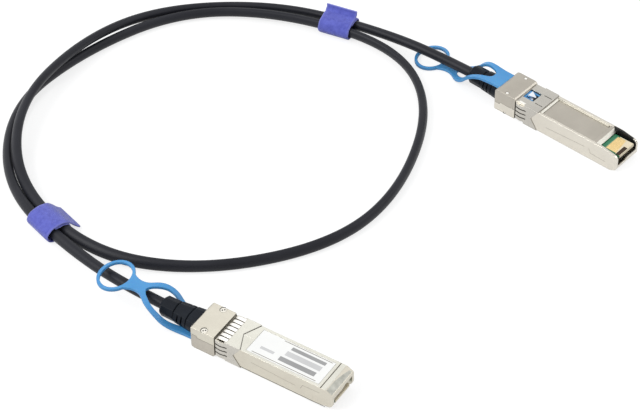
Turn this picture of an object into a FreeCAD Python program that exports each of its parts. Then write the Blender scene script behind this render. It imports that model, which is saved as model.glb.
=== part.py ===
import FreeCAD, Part
import math
import os
import Sketcher
from FreeCAD import Placement, Rotation, Vector

# Direct attach copper cable: one twinax cable with the same pluggable end on both ends,
# coiled one and a half turns and held by two hook-and-loop ties, lying on a flat surface.
# Frame: millimetres, +Z up, z = 0 is the surface it lies on.
# Each plug is drawn in its own frame: +x is the way it goes into its cage, y is across it,
# and z runs from the label face (0) to the latch face. Plug a lies on its latch face and
# plug b on its label face.

doc = FreeCAD.newDocument("direct_attach_cable")
sheet = doc.addObject("Spreadsheet::Sheet", "sizes")


class Size:
    """A number together with the sheet formula that gives it."""

    def __init__(self, number, formula):
        self.number = float(number)
        self.formula = formula

    def join(self, sign, other, flip=False):
        other = other if isinstance(other, Size) else Size(other, repr(float(other)))
        left, right = (other, self) if flip else (self, other)
        number = {"+": left.number + right.number, "-": left.number - right.number,
                  "*": left.number * right.number}[sign]
        return Size(number, f"({left.formula} {sign} {right.formula})")

    def __add__(self, other):
        return self.join("+", other)

    def __radd__(self, other):
        return self.join("+", other, flip=True)

    def __sub__(self, other):
        return self.join("-", other)

    def __rsub__(self, other):
        return self.join("-", other, flip=True)

    def __mul__(self, other):
        return self.join("*", other)

    def __rmul__(self, other):
        return self.join("*", other, flip=True)

    def __truediv__(self, other):
        return Size(self.number / other, f"({self.formula} / {float(other)})")

    def __neg__(self):
        return self.join("*", -1.0)


row_count = 0


def size(alias, value):
    """Writes one driving dimension to the sheet and returns it as a Size."""
    global row_count
    row_count += 1
    sheet.set(f"A{row_count}", alias)
    sheet.set(f"B{row_count}", str(value))
    sheet.setAlias(f"B{row_count}", alias)
    return Size(value, f"sizes.{alias}")


# ---------------------------------------------------------------- driving dimensions

# housing
hood_long = size("hood_long", 9.9)
hood_tall = size("hood_tall", 9.6)
body_wide = size("body_wide", 13.4)
plug_long = size("plug_long", 57.5)
hood_over = size("hood_over", 0.25)
hood_step = size("hood_step", 0.9)
body_low = size("body_low", 0.2)
side_wall = size("side_wall", 1.0)
face_wall = size("face_wall", 1.0)
rear_wall = size("rear_wall", 1.2)
front_wall = size("front_wall", 0.8)
cheek_wall = size("cheek_wall", 2.45)
lid_thick = size("lid_thick", 1.5)
lid_roof = size("lid_roof", 0.35)
panel_sink = size("panel_sink", 0.9)
fit_gap = size("fit_gap", 0.05)
hood_cavity_low = size("hood_cavity_low", 0.85)
parting_step = size("parting_step", 0.8)
parting_step_at = size("parting_step_at", 2.6)
corner_round = size("corner_round", 0.6)
rear_round = size("rear_round", 1.5)

# nose
nose_long = size("nose_long", 9.0)
slope_long = size("slope_long", 2.8)
slope_drop = size("slope_drop", 1.2)
wall_drop = size("wall_drop", 1.2)
wall_slope_long = size("wall_slope_long", 7.0)
tip_round = size("tip_round", 2.2)
lip_thick = size("lip_thick", 0.6)
lip_high = size("lip_high", 3.6)
lip_step = size("lip_step", 0.7)

# latch window and spring collar
window_long = size("window_long", 5.0)
window_half = size("window_half", 2.8)
collar_thick = size("collar_thick", 0.2)
collar_back = size("collar_back", 0.5)
finger_long = size("finger_long", 3.8)
band_long = size("band_long", 6.4)
chevron_depth = size("chevron_depth", 3.1)
face_finger_wide = size("face_finger_wide", 1.45)
side_finger_low = size("side_finger_low", 0.8)
side_finger_tall = size("side_finger_tall", 1.5)

# pull tab
tab_thick = size("tab_thick", 1.1)
tab_over = size("tab_over", 0.45)
tab_gap = size("tab_gap", 0.1)
prong_wide = size("prong_wide", 0.8)
prong_half = size("prong_half", 2.55)
tab_ring_low = size("tab_ring_low", 0.25)
ring_centre = size("ring_centre", 36.2)
ring_half_long = size("ring_half_long", 6.4)
ring_half_wide = size("ring_half_wide", 7.7)
ring_rim = size("ring_rim", 1.15)
# each soft tab as it lies: where its bend starts, where it ends, and how far its arms are pressed in
tab_flex = {"a": (-4.0, -23.0, 0.0), "b": (-7.5, -24.0, 0.8)}

# cable and strain relief
cable_thick = size("cable_thick", 4.0)
relief_long = size("relief_long", 15.7)
relief_gap = size("relief_gap", 0.03)
flange_room = size("flange_room", 0.9)
jacket_end = size("jacket_end", 3.0)
ferrule_long = size("ferrule_long", 3.6)
ferrule_wall = size("ferrule_wall", 0.3)
pair_thick = size("pair_thick", 1.5)

# paddle card
card_thick = size("card_thick", 1.0)
card_under_lid = size("card_under_lid", 0.25)
card_set_back = size("card_set_back", 0.4)
card_side_gap = size("card_side_gap", 0.2)
tongue_wide = size("tongue_wide", 9.2)
pad_wide = 0.6
pad_pitch = 0.8
pad_thick = 0.04
chip_long = size("chip_long", 4.9)
chip_wide = size("chip_wide", 3.9)
chip_tall = size("chip_tall", 1.3)
label_thick = size("label_thick", 0.1)

# latch lever, its pin and its spring
pin_thick = size("pin_thick", 0.9)
pin_at = size("pin_at", 4.6)
lever_thick = size("lever_thick", 0.7)
lever_under_tab = size("lever_under_tab", 1.0)
ear_wide = size("ear_wide", 1.3)
ear_thick = size("ear_thick", 1.5)
post_half = size("post_half", 1.6)
post_over = size("post_over", 0.45)
spring_wide = size("spring_wide", 1.2)
spring_thick = size("spring_thick", 0.12)

# screws
screw_thick = size("screw_thick", 1.3)
head_thick = size("head_thick", 2.3)
head_deep = size("head_deep", 0.6)
screw_edge = size("screw_edge", 1.15)

# where the plugs lie
plug_a_x = size("plug_a_x", -61.2)
plug_a_y = size("plug_a_y", -60.0)
plug_a_turn = size("plug_a_turn", -32.5)
plug_b_x = size("plug_b_x", 50.9)
plug_b_y = size("plug_b_y", 65.4)
plug_b_turn = size("plug_b_turn", -41.4)

# ties
tie_wide = size("tie_wide", 12.0)
tie_thick = size("tie_thick", 1.0)
tie_room = size("tie_room", 0.3)

doc.recompute()

# ---------------------------------------------------------------- helpers


def new_body(label, placement):
    body = doc.addObject("PartDesign::Body", label)
    body.Label = label
    body.Placement = placement
    return body


def plane(body, role):
    for feature in body.Origin.OriginFeatures:
        if feature.Role == role:
            return feature
    raise ValueError(role)


def new_sketch(body, role, name, lift=None):
    """An empty sketch on an origin plane of the body, moved along the plane's normal by lift."""
    sketch = body.newObject("Sketcher::SketchObject", f"{body.Name}_{name}")
    sketch.AttachmentSupport = (plane(body, role), [""])
    sketch.MapMode = "FlatFace"
    if lift is not None:
        sketch.AttachmentOffset = Placement(Vector(0, 0, lift.number), Rotation())
        sketch.setExpression("AttachmentOffset.Base.z", lift.formula)
    return sketch


def number_of(value):
    return value.number if isinstance(value, Size) else float(value)


def tie_point(sketch, curve, end, across, up):
    """Fixes one end of a curve at a place given by two sizes."""
    for kind, value in (("DistanceX", across), ("DistanceY", up)):
        number = sketch.addConstraint(
            Sketcher.Constraint(kind, -1, 1, curve, end, number_of(value)))
        if isinstance(value, Size):
            sketch.setExpression(f"Constraints[{number}]", value.formula)


def outline(sketch, points):
    """A closed polygon whose corners are bound to sizes."""
    places = [Vector(number_of(across), number_of(up), 0) for across, up in points]
    first = sketch.GeometryCount
    for index, place in enumerate(places):
        sketch.addGeometry(Part.LineSegment(place, places[(index + 1) % len(places)]))
    for index in range(len(places)):
        following = first + (index + 1) % len(places)
        sketch.addConstraint(Sketcher.Constraint("Coincident", first + index, 2, following, 1))
        tie_point(sketch, first + index, 1, *points[index])


def block(sketch, left, right, low, high):
    outline(sketch, [(left, low), (right, low), (right, high), (left, high)])


def disc(sketch, across, up, thick):
    centre = Vector(number_of(across), number_of(up), 0)
    curve = sketch.addGeometry(Part.Circle(centre, Vector(0, 0, 1), number_of(thick) / 2))
    tie_point(sketch, curve, 3, across, up)
    number = sketch.addConstraint(Sketcher.Constraint("Diameter", curve, number_of(thick)))
    if isinstance(thick, Size):
        sketch.setExpression(f"Constraints[{number}]", thick.formula)


def pad(body, sketch, length, both_ways=False, backwards=False):
    feature = body.newObject("PartDesign::Pad", f"{sketch.Name}_pad")
    feature.Profile = sketch
    feature.Length = number_of(length)
    if isinstance(length, Size):
        feature.setExpression("Length", length.formula)
    feature.Midplane = both_ways
    feature.Reversed = backwards
    sketch.Visibility = False
    return feature


def pocket(body, sketch, length=None, both_ways=False, backwards=False):
    """Cuts a sketch out of the body: through everything where no length is given."""
    feature = body.newObject("PartDesign::Pocket", f"{sketch.Name}_cut")
    feature.Profile = sketch
    if length is None:
        feature.Type = "ThroughAll"
    else:
        feature.Length = number_of(length)
        if isinstance(length, Size):
            feature.setExpression("Length", length.formula)
    feature.Midplane = both_ways
    feature.Reversed = backwards
    return feature


def edges_at(feature, test):
    """Names of the edges whose two ends and middle all pass the test."""
    doc.recompute()
    names = []
    for number, edge in enumerate(feature.Shape.Edges, start=1):
        first, last = edge.FirstParameter, edge.LastParameter
        spots = [edge.valueAt(first), edge.valueAt((first + last) / 2), edge.valueAt(last)]
        if all(test(spot) for spot in spots):
            names.append(f"Edge{number}")
    return names


def fillet(body, base, names, radius):
    feature = body.newObject("PartDesign::Fillet", f"{base.Name}_round")
    feature.Base = (base, names)
    feature.Radius = radius.number
    feature.setExpression("Radius", radius.formula)
    return feature


def near(value, target):
    return abs(value - number_of(target)) < 0.02


def plain_feature(label, shape, placement=None):
    """A Part::Feature whose shape is made by Part's own functions."""
    feature = doc.addObject("Part::Feature", label)
    feature.Label = label
    feature.Shape = shape
    if placement is not None:
        feature.Placement = placement
    return feature


# ---------------------------------------------------------------- sizes that follow

# across the plug
body_half = body_wide / 2
hood_half = body_half + hood_over
hood_cavity_half = hood_half - cheek_wall
channel_half = body_half - side_wall
lid_half = channel_half - fit_gap
tab_half = hood_cavity_half + 0.2
slot_half = tab_half + tab_gap
neck_half = hood_cavity_half - 0.7
card_half = channel_half - card_side_gap
tongue_half = tongue_wide / 2
face_fingers_half = body_half - 1.15
screw_off = hood_half - screw_edge
lever_half = window_half - 0.4
ear_out = hood_cavity_half - 0.4
ear_in = ear_out - ear_wide
spring_half = hood_cavity_half + 0.35
label_bed_half = body_half - 1.1

# from the label face to the latch face
body_high = hood_tall - hood_step
lid_low = body_high - lid_thick
floor_high = body_low + face_wall
wall_tip_high = body_high - wall_drop
tab_high = hood_tall - tab_over
tab_low = tab_high - tab_thick
slot_high = tab_high + 0.05
slot_low = tab_low - tab_gap
lever_low = tab_low - lever_under_tab
pin_height = lever_low - 0.05
post_high = body_high + collar_thick + post_over
cable_height = (hood_cavity_low + slot_low) / 2 - 0.2
flange_tall = slot_low - hood_cavity_low - flange_room
neck_tall = flange_tall - 0.9
neck_low = cable_height - neck_tall / 2 - fit_gap
neck_high = cable_height + neck_tall / 2 + fit_gap
parting_low = cable_height - 0.9
parting_high = parting_low + parting_step
card_top = lid_low - card_under_lid
card_low = card_top - card_thick
side_finger_high = body_high - 0.55
side_finger_step = (side_finger_high - side_finger_tall - side_finger_low) / 3

# along the plug, from the back of the hood
collar_from = hood_long + collar_back
band_from = collar_from + finger_long
collar_to = band_from + band_long
window_from = collar_from - 0.1
window_to = window_from + window_long
post_from = window_from + 1.5
post_to = post_from + 2.8
lever_rear = pin_at + 0.6
lever_neck = hood_long - 1.3
lever_nose = post_to - 0.8
ramp_from = post_to - 0.4
ramp_to = ramp_from + 0.6
panel_from = collar_to + 0.4
bar_foot_at = plug_long - nose_long
bar_flat_to = bar_foot_at - 1.2
bar_flat_from = bar_flat_to - 1.6
panel_to = bar_flat_from - 0.4
nose_line_at = plug_long - 4.9
slope_from = plug_long - slope_long
lip_from = plug_long - lip_thick
label_bed_from = collar_to + 1.4
label_bed_to = nose_line_at - 1.2
screw_at = hood_long / 2 + 0.3
spring_at = pin_at - 0.6
ferrule_from = jacket_end - 0.1
card_from = collar_to - 4.0
card_to = plug_long - card_set_back
tongue_from = bar_flat_from

# ---------------------------------------------------------------- housing


def label_side_shell(label, placement):
    """Die-cast half with the label face, both side walls and the nose."""
    body = new_body(label, placement)

    hood = new_sketch(body, "XZ_Plane", "hood")
    outline(hood, [(0, rear_round * 0.4), (rear_round * 0.4, 0), (hood_long, 0),
                   (hood_long, parting_high), (parting_step_at, parting_high),
                   (parting_step_at, parting_low), (0, parting_low)])
    pad(body, hood, hood_half * 2, both_ways=True)

    trough = new_sketch(body, "XZ_Plane", "trough")
    outline(trough, [(hood_long - 1.0, body_low), (slope_from, body_low),
                     (plug_long - 0.3, body_low + slope_drop), (plug_long, body_low + slope_drop + 0.6),
                     (plug_long, wall_tip_high), (plug_long - wall_slope_long, body_high),
                     (hood_long, body_high), (hood_long, parting_high),
                     (hood_long - 1.0, parting_high)])
    base = pad(body, trough, body_half * 2, both_ways=True)

    upright = edges_at(base, lambda p: near(p.x, 0) and near(abs(p.y), hood_half))
    rounded = fillet(body, base, upright, corner_round)
    tips = edges_at(rounded, lambda p: near(p.x, plug_long) and near(p.z, wall_tip_high))
    fillet(body, rounded, tips, tip_round)

    hollow = new_sketch(body, "XZ_Plane", "hollow")
    outline(hollow, [(hood_long, floor_high), (slope_from + 0.3, floor_high),
                     (lip_from, floor_high + slope_drop * 0.6), (lip_from, hood_tall),
                     (hood_long, hood_tall)])
    pocket(body, hollow, channel_half * 2, both_ways=True)

    mouth_over_lip = new_sketch(body, "YZ_Plane", "mouth_over_lip", lip_from - 0.1)
    outline(mouth_over_lip, [(-channel_half, lip_high - lip_step), (-1.0, lip_high - lip_step),
                             (0.2, lip_high), (channel_half, lip_high),
                             (channel_half, hood_tall), (-channel_half, hood_tall)])
    pocket(body, mouth_over_lip, lip_thick + 1.0, backwards=True)

    chamber = new_sketch(body, "XY_Plane", "chamber", hood_cavity_low)
    block(chamber, rear_wall, hood_long + 0.5, -hood_cavity_half, hood_cavity_half)
    pocket(body, chamber, hood_tall, backwards=True)

    mouth = new_sketch(body, "XY_Plane", "mouth", neck_low)
    block(mouth, -1.0, rear_wall + 0.1, -neck_half - fit_gap, neck_half + fit_gap)
    pocket(body, mouth, hood_tall, backwards=True)

    finger_room = new_sketch(body, "XY_Plane", "finger_room", body_low + 0.6)
    block(finger_room, hood_long, band_from, -body_half, body_half)
    pocket(body, finger_room)

    label_bed = new_sketch(body, "XY_Plane", "label_bed", body_low + 0.12)
    block(label_bed, label_bed_from, label_bed_to, -label_bed_half, label_bed_half)
    pocket(body, label_bed)

    nose_groove = new_sketch(body, "XY_Plane", "nose_groove", body_low + 0.15)
    block(nose_groove, nose_line_at - 0.15, nose_line_at + 0.15, -body_half, body_half)
    pocket(body, nose_groove)

    holes = new_sketch(body, "XY_Plane", "holes", hood_tall)
    for side in (-1.0, 1.0):
        disc(holes, screw_at, screw_off * side, screw_thick + 0.1)
    pocket(body, holes)

    seats = new_sketch(body, "XY_Plane", "seats", head_deep)
    for side in (-1.0, 1.0):
        disc(seats, screw_at, screw_off * side, head_thick + 0.2)
    pocket(body, seats)
    return body


def latch_side_shell(label, placement):
    """Die-cast half with the latch face, the sunk panel and the bar at the nose."""
    body = new_body(label, placement)

    hood = new_sketch(body, "XZ_Plane", "hood")
    outline(hood, [(0, parting_low + fit_gap), (parting_step_at - fit_gap, parting_low + fit_gap),
                   (parting_step_at - fit_gap, parting_high + fit_gap),
                   (hood_long, parting_high + fit_gap), (hood_long, hood_tall - 0.6),
                   (hood_long - 0.6, hood_tall), (rear_round, hood_tall),
                   (rear_round * 0.3, hood_tall - rear_round * 0.3),
                   (0, hood_tall - rear_round)])
    pad(body, hood, hood_half * 2, both_ways=True)

    lid = new_sketch(body, "XZ_Plane", "lid")
    panel_high = body_high - panel_sink
    outline(lid, [(hood_long - 1.0, lid_low), (bar_foot_at, lid_low), (bar_flat_to, body_high),
                  (bar_flat_from, body_high), (panel_to, panel_high), (panel_from, panel_high),
                  (panel_from, body_high), (hood_long - 1.0, body_high)])
    base = pad(body, lid, lid_half * 2, both_ways=True)
    doc.recompute()

    upright = edges_at(base, lambda p: near(p.x, 0) and near(abs(p.y), hood_half))
    fillet(body, base, upright, corner_round)

    chamber = new_sketch(body, "XY_Plane", "chamber", slot_high)
    block(chamber, rear_wall, hood_long - front_wall, -hood_cavity_half, hood_cavity_half)
    pocket(body, chamber)

    lever_room = new_sketch(body, "XY_Plane", "lever_room", body_high - lid_roof)
    block(lever_room, hood_long - front_wall - 0.1, window_to + 0.7,
          -hood_cavity_half, hood_cavity_half)
    pocket(body, lever_room)

    tab_slot = new_sketch(body, "XZ_Plane", "tab_slot")
    block(tab_slot, -1.0, hood_long - front_wall, slot_low, slot_high)
    pocket(body, tab_slot, slot_half * 2, both_ways=True)

    mouth = new_sketch(body, "XY_Plane", "mouth", neck_high)
    block(mouth, -1.0, rear_wall + 0.1, -neck_half - fit_gap, neck_half + fit_gap)
    pocket(body, mouth)

    window = new_sketch(body, "XY_Plane", "window", hood_tall)
    block(window, window_from, window_to, -window_half, window_half)
    pocket(body, window, hood_tall)

    holes = new_sketch(body, "XY_Plane", "holes", hood_tall + 1.0)
    for side in (-1.0, 1.0):
        disc(holes, screw_at, screw_off * side, screw_thick + 0.1)
    pocket(body, holes)

    pin_hole = new_sketch(body, "XZ_Plane", "pin_hole")
    disc(pin_hole, pin_at, pin_height, pin_thick + 0.04)
    pocket(body, pin_hole, hood_cavity_half * 2 + 1.2, both_ways=True)

    spring_seat = new_sketch(body, "XY_Plane", "spring_seat", slot_low + 0.03)
    block(spring_seat, spring_at - spring_wide / 2 - fit_gap, spring_at + spring_wide / 2 + fit_gap,
          -spring_half - fit_gap, spring_half + fit_gap)
    pocket(body, spring_seat, spring_thick + 0.08)
    return body


# ---------------------------------------------------------------- spring collar


def spring_collar(label, placement):
    """Sheet-metal ground band with sprung fingers towards the hood and chevron front edges."""
    body = new_body(label, placement)
    outer_half = body_half + collar_thick
    outer_low = body_low - collar_thick
    outer_high = body_high + collar_thick

    band = new_sketch(body, "YZ_Plane", "band", band_from)
    block(band, -outer_half, outer_half, outer_low, outer_high)
    block(band, -body_half, body_half, body_low, body_high)
    pad(body, band, collar_to - band_from)

    latch_cheeks = new_sketch(body, "XY_Plane", "latch_cheeks", body_high)
    block(latch_cheeks, collar_from, band_from + 0.2, window_half, outer_half - 0.6)
    block(latch_cheeks, collar_from, band_from + 0.2, 0.6 - outer_half, -window_half)
    pad(body, latch_cheeks, collar_thick)

    window = new_sketch(body, "XY_Plane", "window", outer_high + 1.0)
    block(window, collar_from, window_to, -window_half, window_half)
    pocket(body, window, 2.0)

    cuts = new_sketch(body, "XY_Plane", "cuts", outer_high + 1.0)
    for side in (-1.0, 1.0):
        middle = (window_half + 0.15) * side
        block(cuts, window_to + 1.1, collar_to - 0.8, middle - 0.17, middle + 0.17)
    pocket(body, cuts, 2.0)

    face_chevron = new_sketch(body, "XY_Plane", "face_chevron", body_low + 0.1)
    outline(face_chevron, [(collar_to, -outer_half), (collar_to + 1.0, -outer_half),
                           (collar_to + 1.0, outer_half), (collar_to, outer_half),
                           (collar_to - chevron_depth, 0)])
    pocket(body, face_chevron)

    side_chevron = new_sketch(body, "XZ_Plane", "side_chevron")
    outline(side_chevron, [(collar_to, outer_low), (collar_to + 1.0, outer_low),
                           (collar_to + 1.0, outer_high), (collar_to, outer_high),
                           (collar_to - chevron_depth, (outer_low + outer_high) / 2)])
    pocket(body, side_chevron, hood_half * 4, both_ways=True)

    tip = collar_from + 0.1
    crest = collar_from + 1.9
    face_finger = new_sketch(body, "XZ_Plane", "face_finger", face_fingers_half)
    outline(face_finger, [(band_from + 0.1, outer_low), (crest, outer_low),
                          (crest - 0.9, outer_low + 0.12), (tip, outer_low + 0.5),
                          (tip, outer_low + 0.72), (crest - 0.9, outer_low + 0.34),
                          (crest, body_low), (band_from + 0.1, body_low)])
    finger = pad(body, face_finger, face_finger_wide, both_ways=True)
    repeat(body, finger, "Y_Axis", face_fingers_half * 2, 7)

    for side, name in ((1.0, "left"), (-1.0, "right")):
        side_finger = new_sketch(body, "XY_Plane", f"{name}_finger", side_finger_low)
        outline(side_finger, [(band_from + 0.1, outer_half * side),
                              (crest + 1.1, (outer_half + 0.25) * side),
                              (crest, (outer_half + 0.35) * side),
                              (crest - 1.0, (outer_half + 0.2) * side),
                              (tip, (body_half + 0.24) * side),
                              (tip, (body_half + 0.04) * side),
                              (crest - 1.0, body_half * side),
                              (crest, (body_half + 0.15) * side),
                              (crest + 1.1, (body_half + 0.05) * side),
                              (band_from + 0.1, body_half * side)])
        finger = pad(body, side_finger, side_finger_tall)
        repeat(body, finger, "Z_Axis", side_finger_step * 3, 4)
    return body


def repeat(body, feature, axis_role, length, count):
    """A row of copies of a feature along an axis of the body."""
    pattern = body.newObject("PartDesign::LinearPattern", f"{feature.Name}_row")
    pattern.Originals = [feature]
    axis = [entry for entry in body.Origin.OriginFeatures if entry.Role == axis_role][0]
    pattern.Direction = (axis, [""])
    pattern.Length = length.number
    pattern.setExpression("Length", length.formula)
    pattern.Occurrences = count
    body.Tip = pattern
    return pattern


# ---------------------------------------------------------------- latch and its pin


def latch_lever(label, placement):
    """Rocking plate with two ears on the pin and the wedge post that catches the cage."""
    body = new_body(label, placement)

    plate_sketch = new_sketch(body, "XY_Plane", "plate", lever_low)
    outline(plate_sketch, [(lever_rear, -ear_out), (lever_neck, -ear_out),
                           (lever_neck, -lever_half), (lever_nose, -lever_half),
                           (lever_nose, lever_half), (lever_neck, lever_half),
                           (lever_neck, ear_out), (lever_rear, ear_out)])
    pad(body, plate_sketch, lever_thick)

    for side, name in ((1.0, "left"), (-1.0, "right")):
        ear = new_sketch(body, "XZ_Plane", f"{name}_ear", (ear_out + ear_in) / 2 * side)
        disc(ear, pin_at, pin_height, ear_thick)
        pad(body, ear, ear_out - ear_in, both_ways=True)
        web = new_sketch(body, "XZ_Plane", f"{name}_web", (ear_out + ear_in) / 2 * side)
        block(web, pin_at, lever_rear + 0.4, lever_low, lever_low + lever_thick)
        pad(body, web, ear_out - ear_in, both_ways=True)

    post = new_sketch(body, "XY_Plane", "post", lever_low + 0.1)
    outline(post, [(post_from, -post_half), (post_to, -0.15), (post_to, 0.15),
                   (post_from, post_half)])
    pad(body, post, post_high - lever_low - 0.1)

    slope = new_sketch(body, "XZ_Plane", "slope")
    outline(slope, [(post_from + 0.5, post_high), (post_to + 0.5, post_high - 0.75),
                    (post_to + 0.5, post_high + 0.5), (post_from + 0.5, post_high + 0.5)])
    pocket(body, slope, post_half * 4, both_ways=True)

    bore = new_sketch(body, "XZ_Plane", "bore")
    disc(bore, pin_at, pin_height, pin_thick + 0.06)
    pocket(body, bore, ear_out * 4, both_ways=True)
    return body


def lever_pin(label, placement):
    pin = doc.addObject("Part::Cylinder", label)
    pin.Label = label
    pin.Radius = (pin_thick / 2).number
    pin.setExpression("Radius", (pin_thick / 2).formula)
    pin_long = hood_cavity_half * 2 + 1.0
    pin.Height = pin_long.number
    pin.setExpression("Height", pin_long.formula)
    seat = Placement(Vector(pin_at.number, pin_long.number / 2, pin_height.number),
                     Rotation(Vector(1, 0, 0), 90))
    pin.Placement = placement.multiply(seat)
    return pin


def latch_spring(label, placement):
    """Leaf across the hood that bears on the lever's ears behind its pin."""
    body = new_body(label, placement)
    leaf = new_sketch(body, "XY_Plane", "leaf", slot_low - spring_thick)
    block(leaf, spring_at - spring_wide / 2, spring_at + spring_wide / 2,
          -spring_half, spring_half)
    pad(body, leaf, spring_thick)
    return body


# ---------------------------------------------------------------- pull tab


def s_band(start, end, front, rear, thick):
    """Side view of the tab: level, down through two equal arcs, and level again."""
    run = start.x - end.x
    drop = start.z - end.z
    radius = (run * run + drop * drop) / (4 * drop)
    sweep = 2 * math.atan2(drop, run)
    upper = Vector(start.x, 0, start.z - radius)
    lower = Vector(end.x, 0, end.z + radius)

    def around(centre, reach, angle):
        return centre + Vector(-math.sin(angle) * reach, 0, math.cos(angle) * reach)

    def side(offset):
        first = [around(upper, radius + offset, sweep * part) for part in (0, 0.5, 1)]
        second = [around(lower, -(radius - offset), sweep * part) for part in (1, 0.5, 0)]
        return [Part.LineSegment(Vector(front, 0, start.z + offset), first[0]).toShape(),
                Part.Arc(*first).toShape(),
                Part.Arc(*second).toShape(),
                Part.LineSegment(second[2], Vector(rear, 0, end.z + offset)).toShape()]

    half = thick / 2
    caps = [Part.LineSegment(Vector(front, 0, start.z - half),
                             Vector(front, 0, start.z + half)).toShape(),
            Part.LineSegment(Vector(rear, 0, end.z - half),
                             Vector(rear, 0, end.z + half)).toShape()]
    edges = Part.sortEdges(side(half) + side(-half) + caps)[0]
    return Part.Face(Part.Wire(edges))


def mirrored_outline(points):
    """A closed outline from half of it: a smooth curve and its mirror image across y = 0."""
    curve = Part.BSplineCurve()
    curve.interpolate([Vector(x, y, 0) for x, y in points])
    half = curve.toShape()
    other = half.mirror(Vector(0, 0, 0), Vector(0, 1, 0))
    ends = [Part.LineSegment(Vector(x, y, 0), Vector(x, -y, 0)).toShape()
            for x, y in (points[0], points[-1]) if y > 0.001]
    return Part.Face(Part.Wire(Part.sortEdges([half, other] + ends)[0]))


def pull_tab(label, placement):
    """Moulded strip: plate in the hood, fork round the strain relief, bridge and finger ring."""
    half = tab_half.number
    thick = tab_thick.number
    middle = tab_low.number + thick / 2
    ring_middle = tab_ring_low.number + thick / 2
    bend_from, bend_to, pinch = tab_flex[label[-1]]
    front = (hood_long - front_wall - 0.1).number
    reach = 50.0
    band = s_band(Vector(bend_from, 0, middle), Vector(bend_to, 0, ring_middle), front, -reach, thick)
    band.translate(Vector(0, -reach / 2, 0))
    band = band.extrude(Vector(0, reach, 0))

    arms = mirrored_outline([(-3.0, half), (-6.0, 4.95), (-10.0, 6.0 - pinch * 0.6),
                             (-14.0, 7.0 - pinch), (-18.0, 6.6 - pinch),
                             (-21.5, 4.9 - pinch * 0.4), (-24.0, 3.1), (-26.5, 2.5),
                             (-29.0, 3.0), (-31.0, 4.2)])
    plate = Part.Face(Part.makePolygon([Vector(front, -half, 0), Vector(front, half, 0),
                                        Vector(-3.1, half, 0), Vector(-3.1, -half, 0),
                                        Vector(front, -half, 0)]))
    fork = mirrored_outline([(-5.4, 0), (-5.9, 1.7), (-8.0, 2.9), (-11.0, 4.3 - pinch * 0.6),
                             (-14.0, 5.2 - pinch), (-17.5, 4.9 - pinch),
                             (-20.5, 3.2 - pinch * 0.4), (-22.6, 1.3), (-23.3, 0)])
    ring_at = -ring_centre.number
    outer_ring = Part.Face(Part.Wire(Part.Ellipse(
        Vector(ring_at, ring_half_wide.number, 0),
        Vector(ring_at + ring_half_long.number, 0, 0),
        Vector(ring_at, 0, 0)).toShape()))
    rim = ring_rim.number
    inner_ring = Part.Face(Part.Wire(Part.Ellipse(
        Vector(ring_at, ring_half_wide.number - rim, 0),
        Vector(ring_at + ring_half_long.number - rim, 0, 0),
        Vector(ring_at, 0, 0)).toShape()))
    up = Vector(0, 0, hood_tall.number + 2)
    solid = plate.extrude(up).fuse([arms.extrude(up), outer_ring.extrude(up)])
    solid = solid.cut([fork.extrude(up), inner_ring.extrude(up)])
    solid.translate(Vector(0, 0, -1))
    strip = solid.common(band)

    prong_high = (body_high - lid_roof - fit_gap).number
    prong_low = (tab_low - 0.1).number
    deep = prong_high - prong_low
    across = prong_half.number
    wide = prong_wide.number
    web_to = (post_from - 0.6).number
    tip_from, tip_to = ramp_from.number, ramp_to.number
    tongue = [Part.makeBox(web_to - front + 0.5, across * 2, deep,
                           Vector(front - 0.5, -across, prong_low))]
    for side in (across - wide, -across):
        tongue.append(Part.makeBox(tip_to - web_to + 0.2, wide, deep,
                                   Vector(web_to - 0.2, side, prong_low)))
        ramp = Part.Face(Part.makePolygon([Vector(tip_from, side, prong_low),
                                           Vector(tip_to, side, prong_low - 0.45),
                                           Vector(tip_to, side, prong_high),
                                           Vector(tip_from, side, prong_high),
                                           Vector(tip_from, side, prong_low)]))
        tongue.append(ramp.extrude(Vector(0, wide, 0)))
    whole = strip.fuse(tongue).removeSplitter()
    return plain_feature(label, whole.Solids[0], placement)


# ---------------------------------------------------------------- tubes


def tube_along(points, thick):
    """A round tube along straight runs joined by the largest arcs that the runs allow."""
    edges = []
    radii = []
    start = points[0]
    for before, corner, after in zip(points, points[1:], points[2:]):
        into = corner - before
        out = after - corner
        setback = 0.45 * min(into.Length, out.Length)
        into.normalize()
        out.normalize()
        radius = setback / math.tan(into.getAngle(out) / 2)
        radii.append(radius)
        first = corner - into * setback
        last = corner + out * setback
        inward = out - into
        inward.normalize()
        centre = corner + inward * math.hypot(radius, setback)
        crown = centre - inward * radius
        edges.append(Part.LineSegment(start, first).toShape())
        edges.append(Part.Arc(first, crown, last).toShape())
        start = last
    edges.append(Part.LineSegment(start, points[-1]).toShape())
    path = Part.Wire(edges)
    section = Part.Wire(Part.Circle(points[0], points[1] - points[0], thick / 2).toShape())
    tube = path.makePipeShell([section], True, False)
    return tube, path.Length, radii


def cable_tube(points, thick):
    tube, length, radii = tube_along(points, thick)
    expected = math.pi * thick * thick / 4 * length
    print(f"cable: length {length:.1f} mm, smallest bend radius {min(radii):.1f} mm, "
          f"volume {tube.Volume:.1f} of {expected:.1f} mm3")
    print("bend radii: " + ", ".join(f"{radius:.0f}" for radius in radii))
    return tube


# ---------------------------------------------------------------- strain relief and cable end


def rounded_section(at, wide, tall, corner):
    """A rectangle across the cable, centred on its axis, with two flats in place of each corner."""
    side = wide / 2 - corner
    rise = tall / 2 - corner
    points = []
    for start, across, up in ((0, side, rise), (90, -side, rise), (180, -side, -rise),
                              (270, side, -rise)):
        for turn in (start, start + 45, start + 90):
            angle = math.radians(turn)
            points.append(Vector(at, across + corner * math.cos(angle),
                                 cable_height.number + up + corner * math.sin(angle)))
    return Part.makePolygon(points + points[:1])


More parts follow.
